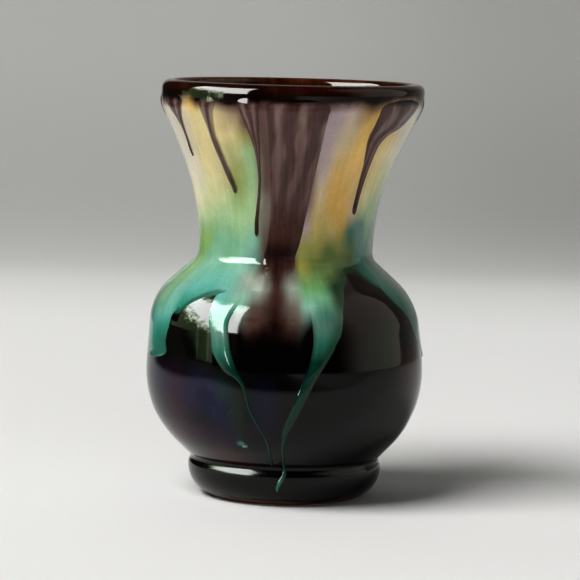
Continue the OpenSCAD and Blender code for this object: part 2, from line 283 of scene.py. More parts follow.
def tonesAt(pairs, z):
    # The colour at each height, from a row of heights and colour names
    heights, tones = [h for h, _ in pairs], np.array([tone(n) for _, n in pairs])
    return np.stack([np.interp(z, heights, tones[:, k]) for k in range(3)], 1)


def roundEdge(edge, az, item=1):
    # A height or a softness by azimuth, from a row of stations
    return np.interp(az, [e[0] for e in edge], [e[item] for e in edge])


def fieldPaint(az, z):
    # The light glazes, mixed between the two nearest columns
    a = np.radians(az)
    shifted = z + np.where(z > 58, 1.2, 0.5) * wander(a, z, 1.3)
    spot = az + 1.5 * wander(a, z, 6.1)
    spot = np.where(spot < columnAzimuths[0], spot + 360, spot)
    columns = [tonesAt(coats["columns"][azimuth], shifted) for azimuth in columnAzimuths]
    columns.append(columns[0])
    places = np.array(columnAzimuths + [columnAzimuths[0] + 360], float)
    columns = np.array(columns)
    i = np.clip(np.searchsorted(places, spot) - 1, 0, len(places) - 2)
    t = smooth((spot - places[i]) / (places[i + 1] - places[i]), 0, 1)[:, None]
    rows = np.arange(len(az))
    return columns[i, rows] * (1 - t) + columns[i + 1, rows] * t


def mixed(colour, other, share):
    # Goes from one colour to the other by a share for each point
    share = np.reshape(share, (-1, 1))
    return colour * (1 - share) + other * share


def coatPaint(az, z):
    # The whole outside: dark coat, light coats above their edge, patches, then the band at the lip
    a = np.radians(az)
    light = fieldPaint(az, z)
    low = roundEdge(coats["shoulderEdge"], az) + coats["edgeWander"] * wander(a, 0, 4)
    soft = roundEdge(coats["shoulderEdge"], az, 2)
    colour = mixed(tonesAt(coats["darkCoat"], z), light, smooth(z, low - soft, low + soft))
    rim = (1 - smooth(np.abs(z - low - 0.6), 0.2, 1)) * (soft < 1) * 0.6  # dark line at a crisp edge
    colour = mixed(colour, tone("pine"), rim)
    for pa, pz, rx, rz, name, strength, soften in coats["patches"]:
        x = np.radians(turnBetween(az, pa)) * radiusAt(z) + 0.3 * rx * wander(a, z, pa)
        d = np.hypot(x / rx, (z - pz + 0.4 * rz * wander(2 * a, 2 * z, pz)) / rz)
        colour = mixed(colour, tone(name), strength * (1 - smooth(d, 1 - soften, 1 + soften)))
    band = roundEdge(coats["bandEdge"], az) + coats["edgeWander"] * wander(a, 0, 2)
    colour = mixed(colour, tone("plum"), 0.8 * smooth(z, band - 2.4, band + 0.2))
    return mixed(colour, tone("band"), smooth(z, band - 0.3, band + 0.9))


def azimuthOf(points):
    return np.degrees(np.arctan2(points[:, 0], -points[:, 1]))


def finishPiece(name, bm, material, node, colours=None):
    # Makes a bmesh a piece: sharp borders, paint by vertex, the hand-thrown shape, its node
    for face in bm.faces:
        face.smooth = True
    mesh = bpy.data.meshes.new(name)
    bm.to_mesh(mesh)
    bm.free()
    mesh.set_sharp_from_angle(angle=0.75)
    points = np.zeros(len(mesh.vertices) * 3)
    mesh.vertices.foreach_get("co", points)
    points = points.reshape(-1, 3)
    if colours:
        paint = mesh.attributes.new("paint", "FLOAT_COLOR", "POINT")
        rgba = np.ones((len(points), 4), np.float32)
        rgba[:, :3] = colours(points)
        paint.data.foreach_set("color", rgba.ravel())
    mesh.vertices.foreach_set("co", handThrown(points).astype(np.float32).ravel())
    mesh.update()
    mesh.materials.append(material)
    piece = bpy.data.objects.new(name, mesh)
    bpy.context.scene.collection.objects.link(piece)
    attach(piece, "root")
    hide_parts(node)
    return piece


def turned(section, closed):
    # Turns a section round the axis, as on the wheel
    bm = bmesh.new()
    verts = [bm.verts.new((p.x * mm, 0, p.y * mm)) for p in section]
    edges = [bm.edges.new(pair) for pair in zip(verts, verts[1:])]
    if closed:
        edges.append(bm.edges.new((verts[-1], verts[0])))
    bmesh.ops.spin(bm, geom=verts + edges, cent=(0, 0, 0), axis=(0, 0, 1), dvec=(0, 0, 0),
                   angle=2 * math.pi, steps=vase["turns"], use_merge=True)
    bmesh.ops.remove_doubles(bm, verts=bm.verts, dist=1e-6)
    bmesh.ops.recalc_face_normals(bm, faces=bm.faces)
    return bm


def newMaterial(name):
    material = bpy.data.materials.new(name)
    material.use_nodes = True
    material.node_tree.nodes.clear()
    return material, material.node_tree.nodes, material.node_tree.links


def mathNode(nodes, links, operation, first, second=None, third=None):
    node = nodes.new("ShaderNodeMath")
    node.operation = operation
    for i, value in enumerate((first, second, third)):
        if value is None:
            continue
        if isinstance(value, (int, float)):
            node.inputs[i].default_value = value
        else:
            links.new(value, node.inputs[i])
    return node.outputs[0]


def noiseNode(nodes, links, vector, scale, detail, rough=0.5, warp=0.0):
    node = nodes.new("ShaderNodeTexNoise")
    node.inputs["Scale"].default_value = scale
    node.inputs["Detail"].default_value = detail
    node.inputs["Roughness"].default_value = rough
    node.inputs["Distortion"].default_value = warp
    links.new(vector, node.inputs["Vector"])
    return node.outputs["Fac"]


def rangeNode(nodes, links, value, low, high, toLow, toHigh):
    node = nodes.new("ShaderNodeMapRange")
    node.interpolation_type = "SMOOTHSTEP"
    for socket, number in zip(("From Min", "From Max", "To Min", "To Max"), (low, high, toLow, toHigh)):
        node.inputs[socket].default_value = number
    links.new(value, node.inputs["Value"])
    return node.outputs["Result"]


def glazeGroup():
    # Streaks down the wall, soft mottling, fine specks and pits, on a colour that comes in
    group = bpy.data.node_groups.new("flowingGlaze", "ShaderNodeTree")
    sockets = group.interface
    sockets.new_socket("Colour", in_out="INPUT", socket_type="NodeSocketColor")
    for label in ("Streak", "Across", "Along", "Mottle", "Specks", "Shine"):
        sockets.new_socket(label, in_out="INPUT", socket_type="NodeSocketFloat")
    sockets.new_socket("Colour", in_out="OUTPUT", socket_type="NodeSocketColor")
    sockets.new_socket("Roughness", in_out="OUTPUT", socket_type="NodeSocketFloat")
    sockets.new_socket("Height", in_out="OUTPUT", socket_type="NodeSocketFloat")
    nodes, links = group.nodes, group.links
    source, result = nodes.new("NodeGroupInput"), nodes.new("NodeGroupOutput")
    place = nodes.new("ShaderNodeTexCoord").outputs["Object"]
    parts = nodes.new("ShaderNodeSeparateXYZ")
    links.new(place, parts.inputs[0])
    squares = [mathNode(nodes, links, "POWER", parts.outputs[axis], 2) for axis in (0, 1)]
    radius = mathNode(nodes, links, "SQRT", mathNode(nodes, links, "ADD", *squares))
    radius = mathNode(nodes, links, "MAXIMUM", radius, 0.004)
    wrap = nodes.new("ShaderNodeCombineXYZ")
    for axis in (0, 1):
        unit = mathNode(nodes, links, "DIVIDE", parts.outputs[axis], radius)
        links.new(mathNode(nodes, links, "MULTIPLY", unit, source.outputs["Across"]), wrap.inputs[axis])
    height = mathNode(nodes, links, "MULTIPLY", parts.outputs[2], source.outputs["Along"])
    links.new(height, wrap.inputs[2])
    streak = noiseNode(nodes, links, wrap.outputs[0], 1, 4, 0.6, 0.6)
    streak = rangeNode(nodes, links, streak, 0.3, 0.7, -1, 1)
    mottle = noiseNode(nodes, links, place, 180, 3, 0.55, 0.4)
    mottle = rangeNode(nodes, links, mottle, 0.3, 0.7, -1, 1)
    fine = mathNode(nodes, links, "SUBTRACT", noiseNode(nodes, links, place, 1500, 2), 0.5)
    change = mathNode(nodes, links, "MULTIPLY", mottle, source.outputs["Mottle"])
    change = mathNode(nodes, links, "MULTIPLY_ADD", streak, source.outputs["Streak"], change)
    change = mathNode(nodes, links, "MULTIPLY_ADD", fine, source.outputs["Specks"], change)
    bright = nodes.new("ShaderNodeHueSaturation")
    links.new(source.outputs["Colour"], bright.inputs["Color"])
    links.new(mathNode(nodes, links, "ADD", 1, change), bright.inputs["Value"])
    links.new(mathNode(nodes, links, "MULTIPLY_ADD", change, -0.3, 1), bright.inputs["Saturation"])
    pits = nodes.new("ShaderNodeTexVoronoi")
    pits.inputs["Scale"].default_value = 260
    links.new(place, pits.inputs["Vector"])
    chosen = nodes.new("ShaderNodeSeparateColor")
    links.new(pits.outputs["Color"], chosen.inputs[0])
    few = mathNode(nodes, links, "GREATER_THAN", chosen.outputs[0], 0.85)
    near = rangeNode(nodes, links, pits.outputs["Distance"], 0.03, 0.09, 1, 0)
    pit = mathNode(nodes, links, "MULTIPLY", near, few)
    links.new(bright.outputs[0], result.inputs["Colour"])
    cloudy = mathNode(nodes, links, "ADD", mottle, 1)
    rough = mathNode(nodes, links, "MULTIPLY_ADD", cloudy, 0.02, source.outputs["Shine"])
    links.new(rough, result.inputs["Roughness"])
    peel = mathNode(nodes, links, "MULTIPLY", noiseNode(nodes, links, place, 420, 2), 0.5)
    dents = mathNode(nodes, links, "MULTIPLY", pit, 0.8)
    links.new(mathNode(nodes, links, "SUBTRACT", peel, dents), result.inputs["Height"])
    return group


print("glazes")
flowingGlaze = glazeGroup()
# Strength of the streaks and how many there are across and along, strength of the mottling and the
# specks, roughness, relief, and how much drier the glaze is on the foot
plainLook = {"streak": 0.04, "across": 16, "along": 60, "mottle": 0.05, "specks": 0.16,
             "shine": 0.05, "bump": 0.15, "footMatt": 0}


def glazeMaterial(name, **changes):
    look = {**plainLook, **changes}
    material, nodes, links = newMaterial(name)
    paint = nodes.new("ShaderNodeAttribute")
    paint.attribute_name = "paint"
    group = nodes.new("ShaderNodeGroup")
    group.node_tree = flowingGlaze
    for label in ("Streak", "Across", "Along", "Mottle", "Specks", "Shine"):
        group.inputs[label].default_value = look[label.lower()]
    shader = nodes.new("ShaderNodeBsdfPrincipled")
    shader.inputs["IOR"].default_value = 1.5
    bump = nodes.new("ShaderNodeBump")
    bump.inputs["Strength"].default_value = look["bump"]
    bump.inputs["Distance"].default_value = 0.00006
    output = nodes.new("ShaderNodeOutputMaterial")
    links.new(paint.outputs["Color"], group.inputs["Colour"])
    links.new(group.outputs["Colour"], shader.inputs["Base Color"])
    rough = group.outputs["Roughness"]
    if look["footMatt"]:
        parts = nodes.new("ShaderNodeSeparateXYZ")
        links.new(nodes.new("ShaderNodeTexCoord").outputs["Object"], parts.inputs[0])
        drier = rangeNode(nodes, links, parts.outputs[2], 0.0085, 0.011, look["footMatt"], 0)
        rough = mathNode(nodes, links, "ADD", rough, drier)
    links.new(rough, shader.inputs["Roughness"])
    links.new(group.outputs["Height"], bump.inputs["Height"])
    links.new(bump.outputs["Normal"], shader.inputs["Normal"])
    links.new(shader.outputs[0], output.inputs["Surface"])
    return material


neckMaterial = glazeMaterial("neckGlaze")
shoulderMaterial = glazeMaterial("shoulderGlaze")
bellyMaterial = glazeMaterial("bellyGlaze", mottle=0.25, footMatt=0.1)
rimMaterial = glazeMaterial("rimGlaze", mottle=0.25, streak=0.2)
linerMaterial = glazeMaterial("linerGlaze", mottle=0.25, streak=0.3)
plumMaterial = glazeMaterial("plumGlaze", streak=0.22, across=26, along=40, mottle=0.1)
tealMaterial = glazeMaterial("tealGlaze", streak=0.07, across=24)
clayMaterial = glazeMaterial("bareClay", streak=0, mottle=0.12, specks=0.5, shine=0.6, bump=1)

print("clay body")
clay = {"colour": "clay", "hiddenBend": 0.06, "hiddenGap": 3}  # bend and gap, in mm, kept under the coats


def thinned(points):
    # Leaves out points of a hidden side where it runs nearly straight
    kept = [points[0]]
    for here, after in zip(points[1:], points[2:]):
        bend = (here - kept[-1]).angle(after - here, 0)
        if bend > clay["hiddenBend"] or (here - kept[-1]).length > clay["hiddenGap"]:
            kept.append(here)
    return kept + [points[-1]]


def clayPaint(points):
    return np.tile(tone(clay["colour"]), (len(points), 1))


footIndex = indexAt(vase["bareTo"])
bodySection = outline[:footIndex + 1] + thinned(underCoat[footIndex:])
finishPiece("clayBody", turned(bodySection, False), clayMaterial, "clay_body", clayPaint)

print("glaze coats")
rimBand = {"worn": "rust", "wornFrom": 96.6, "wornTo": 99.4, "inside": "brown",
           "insideStreaks": "chestnut"}
liner = {"colour": "brown", "warm": "chestnut", "warmFrom": 60, "warmTo": 94, "warmth": 0.45}


def coatSection(start, end):
    return outline[start:end + 1] + thinned(underCoat[start:end + 1])[::-1]


def outsidePaint(points):
    return coatPaint(azimuthOf(points), points[:, 2] / mm)


def bandPaint(points):
    az, z = azimuthOf(points), points[:, 2] / mm
    r = np.hypot(points[:, 0], points[:, 1]) / mm
    a = np.radians(az)
    worn = smooth(z, rimBand["wornFrom"], rimBand["wornTo"]) * (0.6 + 0.5 * wander(a, z, 3)) * 0.7
    colour = mixed(coatPaint(az, z), tone(rimBand["worn"]), worn)
    streaks = 0.2 + 0.2 * wander(a, z, 8)
    inside = mixed(tone(rimBand["inside"]), tone(rimBand["insideStreaks"]), streaks)
    inward = (1 - smooth(r, 28.6, 30.8)) * smooth(z, 88, 92)
    return mixed(colour, inside, inward)


def linerPaint(points):
    az, z = azimuthOf(points), points[:, 2] / mm
    warm = smooth(z, liner["warmFrom"], liner["warmTo"]) * (0.5 + 0.5 * wander(np.radians(az), z, 7))
    return mixed(tone(liner["colour"]), tone(liner["warm"]), liner["warmth"] * warm)


bellyEnd, shoulderEnd, neckEnd = (indexAt(vase[k]) for k in ("bellyTo", "shoulderTo", "neckTo"))
bandEnd = indexAt(vase["bandInside"], inside=True)
for name, start, end, material, slot, colours in (
        ("bellyGlaze", footIndex, bellyEnd, bellyMaterial, "belly_glaze", outsidePaint),
        ("shoulderGlaze", bellyEnd, shoulderEnd, shoulderMaterial, "shoulder_glaze", outsidePaint),
        ("neckGlaze", shoulderEnd, neckEnd, neckMaterial, "neck_glaze", outsidePaint),
        ("rimGlaze", neckEnd, bandEnd, rimMaterial, "rim_glaze", bandPaint)):
    finishPiece(name, turned(coatSection(start, end), True), material, slot, colours)
linerShell = turned(coatSection(bandEnd, len(outline) - 1), False)
finishPiece("linerGlaze", linerShell, linerMaterial, "liner_glaze", linerPaint)

print("glaze runs")
runShape = {
    "rimThickness": 0.3, "shoulderThickness": 0.32,  # above the coat
    "sunk": 0.06, "under": 0.3,  # how deep the edge and the underside lie in the coat
    "stepAcross": 0.4, "stepAlong": 0.45,
    "topLead": 1.4, "topRise": 2,  # how far a run starts above its first station, and how soon it is full
    "dome": 2.6,  # a higher power is a flatter run with rounder shoulders
    "flatWidth": 6,  # a run of this half width is half as thick
    "bead": 0.5, "beadLength": 1.6,  # the swelling at the tip
}

# Stations of the runs, from top to tip: height, azimuth from the front, half width in mm. "tip" is
# how far the round tip reaches below the last station. "soft" is how far the left and the right edge
# fade into the coat, as a share of the half width. "sink" is where a run fades into the coat, as a
# share of its length. "tones" are the colours by height and "shade" darkens the right half.
rimRuns = {
    "rimRun1": {
        "rows": [(95.4, -64.5, 7), (93.5, -63, 4.6), (91.2, -61.6, 2), (87.8, -60.7, 0.7),
                 (84, -61, 0.5)],
        "tip": 1.6, "soft": (0.5, 0.4)},
    "rimRun2": {
        "rows": [(95.4, -39.5, 3.8), (92.1, -39.9, 2.4), (88.3, -39.7, 1.6), (84.6, -38.6, 1.6),
                 (81, -36.6, 1.5), (77.5, -34.2, 1.45), (75.4, -32.2, 1.1)],
        "tip": 1.2, "soft": (0.8, 0.8)},
    "rimRun3": {
        "rows": [(95.4, -19, 3.8), (93.8, -18.6, 2.95), (90.9, -17.8, 2.2), (88, -17, 1.45),
                 (84.8, -16.2, 0.9), (81.3, -16, 0.5), (78, -16.1, 0.4), (74.3, -16.9, 0.42),
                 (70.8, -18, 0.5), (66.5, -19, 0.62), (65.1, -19, 0.6)],
        "tip": 0.9, "soft": (0.3, 0.4)},
    "rimRun4": {
        "rows": [(95.4, 2.2, 9.9), (91.8, 2.2, 8.7), (85, 2.2, 7.3), (78.5, 1.7, 6.2),
                 (72, 0.9, 5.25), (66.5, -0.4, 4.7), (62.5, -2.1, 4.5), (59, -4.1, 4.3),
                 (57, -4, 4.4), (55, -4.2, 4), (50, -3, 4), (44.5, -3, 4.4)],
        "tip": 1.5, "soft": (0.3, 0.15), "sink": (0.7, 0.82)},
    "rimRun5": {
        "rows": [(95.4, 58, 12), (92.6, 55.2, 9.5), (90.3, 52, 7.2), (88.2, 46.8, 4.1),
                 (86, 45.2, 2.75), (83.6, 45.6, 2.05), (80.9, 46.4, 1.5), (78, 46.5, 1.27),
                 (74.6, 46.4, 1), (70.9, 45.9, 0.85)],
        "tip": 1.4, "soft": (0.25, 0.5)},
    "rimRun6": {
        "rows": [(95.4, 84, 2.4), (90, 84.5, 1.4), (83.4, 85, 0.7)],
        "tip": 1, "soft": (0.4, 0.4), "sink": (0.3, 0.6)},
    "rimRun7": {
        "rows": [(95.4, 104, 4.5), (88, 106, 2.4), (80, 107, 1.1), (71.4, 106.5, 0.8)],
        "tip": 1, "soft": (0.4, 0.4)},
    "rimRun8": {
        "rows": [(95.4, 133, 3.4), (87, 132, 1.6), (78.4, 131.5, 0.7)],
        "tip": 1, "soft": (0.4, 0.4)},
    "rimRun9": {
        "rows": [(95.4, 161, 8), (86, 162, 6.4), (76, 164, 4.4), (66.4, 165, 2.2),
                 (62.4, 165.5, 1.2)],
        "tip": 1.4, "soft": (0.3, 0.3)},
    "rimRun10": {
        "rows": [(95.4, -166, 3), (88, -167.5, 1.4), (81.4, -168, 0.7)],
        "tip": 1, "soft": (0.4, 0.4)},
    "rimRun11": {
        "rows": [(95.4, -139, 5.5), (88, -138, 3.2), (80, -136.5, 1.4), (67.4, -137, 0.9)],
        "tip": 1, "soft": (0.4, 0.3)},
    "rimRun12": {
        "rows": [(95.4, -110, 3.2), (88, -109, 1.8), (76.4, -107, 0.8)],
        "tip": 1, "soft": (0.4, 0.4)},
    "rimRun13": {
        "rows": [(95.4, -88, 2.6), (90, -87.5, 1.2), (84.4, -87, 0.6)],
        "tip": 1, "soft": (0.4, 0.4), "sink": (0.3, 0.6)},
}
shoulderRuns = {
    "shoulderRun1": {
        "rows": [(51.4, -64, 15.6), (50.9, -67.5, 14), (49.9, -69.7, 13.6), (48.5, -70.7, 13),
                 (46.3, -71.2, 12.6), (44.4, -72.2, 11.7), (42.5, -72.2, 11.2), (40.7, -72.7, 10.4),
                 (38.2, -73, 9.8), (36.4, -71.8, 9.6)],
        "tip": 2.2, "soft": (0.3, 0.02)},
    "shoulderRun2": {
        "rows": [(50, -25.5, 4.5), (47, -27, 3.8), (44.4, -27.7, 3.2), (41, -26.9, 2.9),
                 (38.2, -26.2, 3), (36.2, -24.7, 2.75), (34.6, -23.1, 2.5), (33, -21.1, 2),
                 (31.9, -18.6, 1.1), (30, -16.4, 0.5), (27.9, -15.3, 0.42), (25.5, -14.3, 0.4),
                 (23.2, -12.8, 0.4), (20.6, -10.3, 0.4), (17.7, -7.8, 0.38), (14.8, -6.8, 0.38),
                 (11.1, -6.8, 0.35)],
        "tip": 0.8, "soft": (0.03, 0.7),
        "tones": [(9, "deepTeal"), (34, "deepTeal"), (38, "teal"), (42, "sea"), (46, "turquoise")]},
    "shoulderRun3": {
        "rows": [(53.5, 19.6, 6.4), (51, 19, 5.9), (48, 18.5, 5.1), (44.3, 18, 4.5),
                 (42.2, 17.6, 4.15), (40.2, 16.5, 3.4), (38.5, 15.5, 3.1), (36.2, 13.6, 2.5),
                 (34.6, 12.3, 2.15), (31.9, 9.9, 1.8), (28.2, 7.2, 1.6), (24.7, 4.8, 1.3),
                 (21.4, 2.4, 1.15), (17.9, 0.3, 0.65), (14.8, -0.5, 0.5), (11.1, -0.4, 0.42),
                 (8.7, 0.2, 0.55), (6.4, -2.1, 0.8), (5, -3.8, 0.6)],
        "tip": 0.8, "soft": (0.6, 0.02), "shade": 0.75,
        "tones": [(4, "teal"), (12, "deepTeal"), (36, "deepTeal"), (40, "teal"), (45, "sea")]},
    "shoulderRun4": {
        "rows": [(53.5, 79, 12.5), (51, 78, 14.5), (48.5, 80, 14.2), (46.8, 82.2, 13),
                 (44.1, 84.7, 11.4), (41.2, 86.5, 10), (38, 89.5, 7.8), (35.4, 93, 4.6)],
        "tip": 1.4, "soft": (0.25, 0.2)},
    "shoulderRun5": {
        "rows": [(51, 128, 6), (42, 131, 4), (32, 134, 2), (22, 135, 0.9), (12, 134, 0.7),
                 (6.6, 135.5, 0.8)],
        "tip": 0.8, "soft": (0.3, 0.03),
        "tones": [(6, "deepTeal"), (30, "teal"), (40, "sea")]},
    "shoulderRun6": {
        "rows": [(51, 160, 5), (42, 162, 3.4), (32, 163, 1.8), (24.8, 161, 0.8)],
        "tip": 0.8, "soft": (0.3, 0.1),
        "tones": [(24, "deepTeal"), (34, "teal"), (42, "sea")]},
    "shoulderRun7": {
        "rows": [(51, -168, 8), (44, -166, 7), (41, -165, 5)],
        "tip": 2, "soft": (0.1, 0.3)},
    "shoulderRun8": {
        "rows": [(51, -137, 5.5), (43, -139, 4), (34, -141, 2.2), (24, -142, 0.9),
                 (15.7, -141, 0.7)],
        "tip": 0.7, "soft": (0.3, 0.1),
        "tones": [(14, "deepTeal"), (30, "teal"), (40, "sea")]},
    "shoulderRun9": {
        "rows": [(51, -112, 6), (44, -110, 4.5), (39.4, -109, 2.4)],
        "tip": 1.4, "soft": (0.1, 0.3)},
}


def eased(values, knots, at):
    # A smooth curve through the stations that never overshoots between them
    values, knots = np.array(values, float), np.array(knots, float)
    slopes = np.diff(values) / np.diff(knots)
    both = slopes[1:] * slopes[:-1]
    inner = np.where(both > 0, 2 * both / (slopes[1:] + slopes[:-1] + (both <= 0)), 0)
    ends = np.concatenate([slopes[:1], inner, slopes[-1:]])
    i = np.clip(np.searchsorted(knots, at) - 1, 0, len(knots) - 2)
    h = knots[i + 1] - knots[i]
    t = (at - knots[i]) / h
    return ((2 * t ** 3 - 3 * t ** 2 + 1) * values[i] + (t ** 3 - 2 * t ** 2 + t) * h * ends[i]
            + (3 * t ** 2 - 2 * t ** 3) * values[i + 1] + (t ** 3 - t ** 2) * h * ends[i + 1])


def flowPiece(name, run, thickness, material, node, flowColour):
    # A grid laid on the coat along the stations, domed across, with a round tip, then closed below
    rows, tip = run["rows"], run["tip"]
    top, last = rows[0][0] + runShape["topLead"], rows[-1][0]
    knots = [-r[0] for r in rows]
    straight = np.linspace(top, last, max(12, int((top - last) / runShape["stepAlong"])))
    heights = np.concatenate([straight, last - tip * np.sin(np.arange(1, 13) * math.pi / 24)])
    inside = np.clip(-heights, knots[0], knots[-1])
    centre = eased([r[1] for r in rows], knots, inside)
    width = eased([r[2] for r in rows], knots, inside)
    width = width * np.sqrt(np.clip(1 - np.clip((last - heights) / tip, 0, 1) ** 2, 0, 1))
    across = max(16, int(2 * max(r[2] for r in rows) / runShape["stepAcross"]))
    bm = bmesh.new()
    bmesh.ops.create_grid(bm, x_segments=across, y_segments=len(heights) - 1, size=1)
    co = np.array([v.co for v in bm.verts])
    row = np.rint((1 - co[:, 1]) / 2 * (len(heights) - 1)).astype(int)
    side = np.sin(co[:, 0] * math.pi / 2)  # closer rows of vertices near the two edges
    z = heights[row]
    drop = (top - z) / (top - last)
    sinkFrom, sinkTo = run.get("sink", (5, 6))
    lasting = 1 - smooth(drop, sinkFrom, sinkTo)
    full = (1 - smooth(z, top - runShape["topRise"], top)) * lasting * thickness
    full = full / (1 + (width[row] / runShape["flatWidth"]) ** 2)
    full = full * (1 + runShape["bead"] * np.exp(-((z - last) / runShape["beadLength"]) ** 2))
    full = full + runShape["sunk"]
    left, right = run["soft"]
    cover = np.where(side < 0, smooth(1 + side, 0, left), smooth(1 - side, 0, right))
    dome = (1 - np.abs(side) ** runShape["dome"]) * cover * (row < len(heights) - 1)
    height = full * dome - runShape["sunk"]
    radius = radiusAt(z)
    az = np.radians(centre[row]) + side * width[row] / radius
    outR, outZ = (np.interp(z, outerHeights, outerFacing[:, k]) for k in (0, 1))
    radius, lifted = radius + outR * height, z + outZ * height
    for v, x, y, h in zip(bm.verts, radius * np.sin(az), -radius * np.cos(az), lifted):
        v.co = (x * mm, y * mm, h * mm)
    az = (np.degrees(az) + 180) % 360 - 180
    colour = mixed(coatPaint(az, z), flowColour(run, side, drop, az, z), cover * lasting)
    layer = bm.verts.layers.float_color.new("paint")
    for v, rgb in zip(bm.verts, colour):
        v[layer] = (*rgb, 1)
    bmesh.ops.remove_doubles(bm, verts=bm.verts, dist=1e-7)
    bm.normal_update()
    widest = max(bm.faces, key=lambda f: f.calc_area())
    if widest.normal.dot(widest.calc_center_median() * Vector((1, 1, 0))) < 0:
        bmesh.ops.reverse_faces(bm, faces=bm.faces)
    shell = bmesh.ops.extrude_face_region(bm, geom=bm.faces[:])  # closes the run inside the coat
    for v in (g for g in shell["geom"] if isinstance(g, bmesh.types.BMVert)):
        v.co -= Vector((v.co.x, v.co.y, 0)).normalized() * runShape["under"] * mm
    bmesh.ops.recalc_face_normals(bm, faces=bm.faces)
    return finishPiece(name, bm, material, node)


plum = {
    "veins": 9, "sway": 1.5,  # how many pale veins run down, and how they sway
    "pale": 0.7, "paleFrom": (62, 88), "palest": 0.15, "palestFrom": (84, 93),
    "edge": 0.15, "tip": 0.6,  # how much darker the edges and the lower end are
    "waistShade": 0.8, "waistShadeAt": 60.3, "waistShadeReach": 2.6,  # painted shade: the glaze is darkened over the waist
    "bandFrom": (94.9, 96.3),  # where the run comes out of the dark band
}


def plumFlow(run, side, drop, az, z):
    a = np.radians(az)
    wave = plum["veins"] * side + plum["sway"] * np.sin(0.11 * z) + 2 * wander(a, z, 5)
    veins = 0.5 + 0.5 * np.sin(wave)
    pale = plum["pale"] * smooth(z, *plum["paleFrom"]) * smooth(veins, 0.2, 1)
    palest = plum["palest"] * smooth(z, *plum["palestFrom"]) * smooth(veins, 0.7, 1)
    # Painted shade: the run is darkened towards umber over the waist
    waistShade = plum["waistShade"] * np.exp(-((z - plum["waistShadeAt"]) / plum["waistShadeReach"]) ** 2)
    colour = mixed(tone("plum"), tone("mauve"), pale)
    colour = mixed(colour, tone("lilac"), palest)
    colour = mixed(colour, tone("darkPlum"), plum["edge"] * smooth(np.abs(side), 0.5, 0.95))
    colour = mixed(colour, tone("umber"), waistShade)
    colour = mixed(colour, tone("darkPlum"), plum["tip"] * smooth(drop, 0.6, 1))
    return mixed(colour, tone("band"), smooth(z, *plum["bandFrom"]))


def tealFlow(run, side, drop, az, z):
    colour = fieldPaint(az, z)
    if "tones" in run:
        highest = run["tones"][-1][0]
        colour = mixed(colour, tonesAt(run["tones"], z), 1 - smooth(z, highest - 3, highest + 5))
    shade = run.get("shade", 0) * smooth(side, 0, 0.8) * (1 - smooth(z, 43, 49))
    colour = mixed(colour, tone("pine"), shade)
    crisp = np.where(side < 0, run["soft"][0] < 0.1, run["soft"][1] < 0.1)
    edge = smooth(np.abs(side), 0.75, 0.97) * crisp * smooth(drop, 0.05, 0.3)
    return mixed(colour, tone("pine"), 0.7 * edge)


for number, (name, run) in enumerate(rimRuns.items(), 1):
    flowPiece(name, run, runShape["rimThickness"], plumMaterial, f"rim_run_{number}",
              plumFlow)
for number, (name, run) in enumerate(shoulderRuns.items(), 1):
    flowPiece(name, run, runShape["shoulderThickness"], tealMaterial,
              f"shoulder_run_{number}", tealFlow)

print("floor, light and camera")
studio = {
    "floor": (0.79, 0.79, 0.795), "wall": (0.42, 0.422, 0.414), "side": 1.8,
    "floorFrom": -4, "wallAt": 0.95, "curve": 0.38, "wallTop": 2.2,  # in metres
    "wallFrom": (0.33, 0.85),  # where the floor's colour turns into the wall's
    "lowDarker": -0.17, "rightDarker": -0.13,  # painted shade: how much the wall darkens low down and to the right
    "tableFront": (-0.22, -0.12), "tableLeft": (-0.36, -0.24), "tableRight": (0, 0.2),
    # Lights: azimuth, height and distance, then width and height, power and colour
    "windowAt": (-53, 53, 3.8), "windowSize": (2.5, 1.7), "windowPower": 115,
    "windowColour": (1, 0.99, 0.97),
    "roomAt": (14, 8, 2.6), "roomSize": (2.2, 1.0), "roomPower": 17, "roomColour": (0.98, 0.99, 1),
    # Panes that only the glaze mirrors: two azimuths, two heights and the distance
    "panes": {"windowPane": (-103, -39.5, 5, 53, 2.5), "treePane": (-112, -62, 0.5, 5, 2.45),
              "sidePane": (98.8, 100.2, 1, 15, 2.5)},
    "sky": (0.97, 1, 0.98, 1), "paneBright": 11, "trees": (0.62, 0.9, 0.5, 1), "paneTrees": 0.8,
    "roomTint": (1, 0.97, 0.88, 1), "roomFront": 0.02, "roomSide": 0.65, "fill": 0.02,
}


def stagePiece(name, bm, material):
    mesh = bpy.data.meshes.new(name)
    bm.to_mesh(mesh)
    bm.free()
    mesh.materials.append(material)
    piece = bpy.data.objects.new(name, mesh)
    bpy.context.scene.collection.objects.link(piece)
    piece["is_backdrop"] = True
    return piece


bm = bmesh.new()
curve, wallAt = studio["curve"], studio["wallAt"]
left = -studio["side"]
section = [Vector((left, studio["floorFrom"], 0)), Vector((left, wallAt - curve, 0))]
section += [Vector((left, wallAt - curve + curve * math.sin(t), curve - curve * math.cos(t)))
            for t in (k * math.pi / 48 for k in range(1, 25))]
section.append(Vector((left, wallAt, studio["wallTop"])))
verts = [bm.verts.new(p) for p in section]
edges = [bm.edges.new(pair) for pair in zip(verts, verts[1:])]
swept = bmesh.ops.extrude_edge_only(bm, edges=edges)
far = [g for g in swept["geom"] if isinstance(g, bmesh.types.BMVert)]
bmesh.ops.translate(bm, verts=far, vec=(2 * studio["side"], 0, 0))
for face in bm.faces:
    face.smooth = True
material, nodes, links = newMaterial("studioSweep")
shader, output = nodes.new("ShaderNodeBsdfPrincipled"), nodes.new("ShaderNodeOutputMaterial")
parts, mix = nodes.new("ShaderNodeSeparateXYZ"), nodes.new("ShaderNodeMix")
links.new(nodes.new("ShaderNodeTexCoord").outputs["Object"], parts.inputs[0])
mix.data_type = "RGBA"
acrossFloor, backwards, upwards = parts.outputs
links.new(rangeNode(nodes, links, backwards, *studio["wallFrom"], 0, 1), mix.inputs["Factor"])
mix.inputs["A"].default_value = (*studio["floor"], 1)
